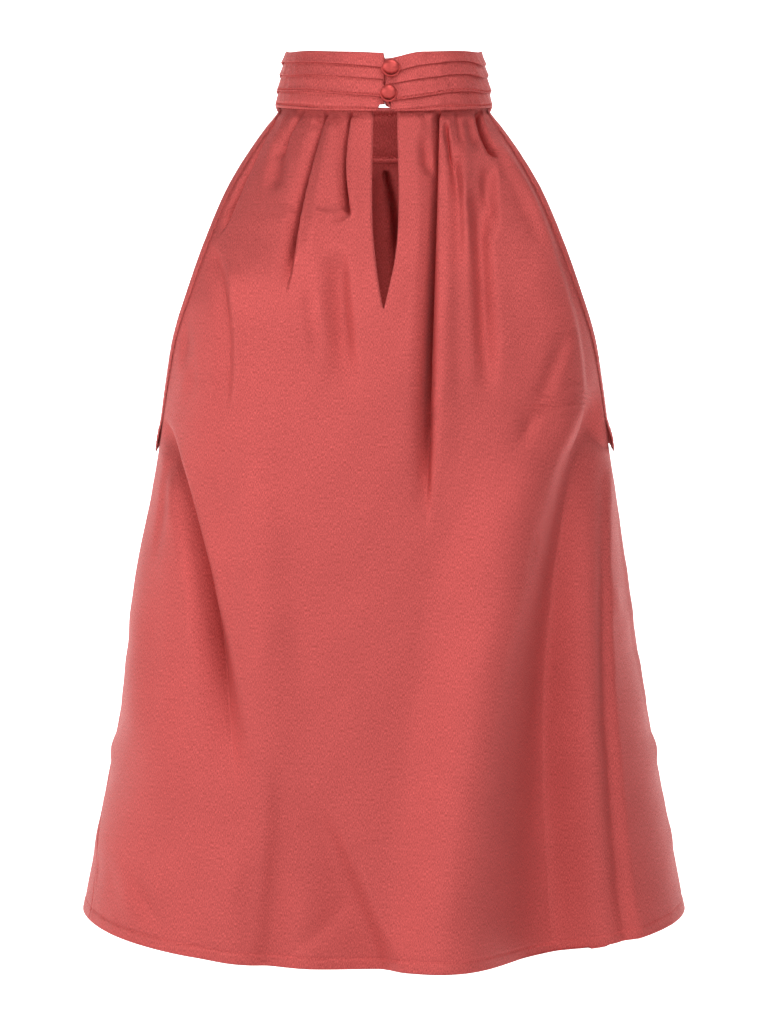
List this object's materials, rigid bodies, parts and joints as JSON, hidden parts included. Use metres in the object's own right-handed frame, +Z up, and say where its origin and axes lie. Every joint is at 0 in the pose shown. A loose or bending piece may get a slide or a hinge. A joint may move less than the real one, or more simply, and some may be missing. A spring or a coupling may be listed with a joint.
{
  "type": "halter neck top",
  "caption": "Sleeveless halter neck top, filled out as worn: tucked neck band closed at the back with covered buttons over a keyhole slit, pleats and a flared hem.",
  "frame": {"origin": "middle of the neck opening, level with the seam under the neck band at the sides, where the wearer's neck holds the top", "axes": "+Z up the body, -Y out of the wearer's back, +Y out of the wearer's front, +X to the wearer's right"},
  "size_m": [0.3985, 0.268, 0.5847],
  "materials": {
    "crepe_satin": "soft sheen, fine crepe grain, coral rose",
    "button_cover": "the same cloth drawn smooth over a dome"
  },
  "bodies": {
    "root": {"back_panel": "crepe_satin", "front_panel": "crepe_satin", "neck_band": "crepe_satin", "neck_band_facing": "crepe_satin", "armhole_binding_left": "crepe_satin", "armhole_binding_right": "crepe_satin", "button_upper": "button_cover", "button_lower": "button_cover", "button_loop_upper": "button_cover", "button_loop_lower": "button_cover"}
  },
  "joints": []
}
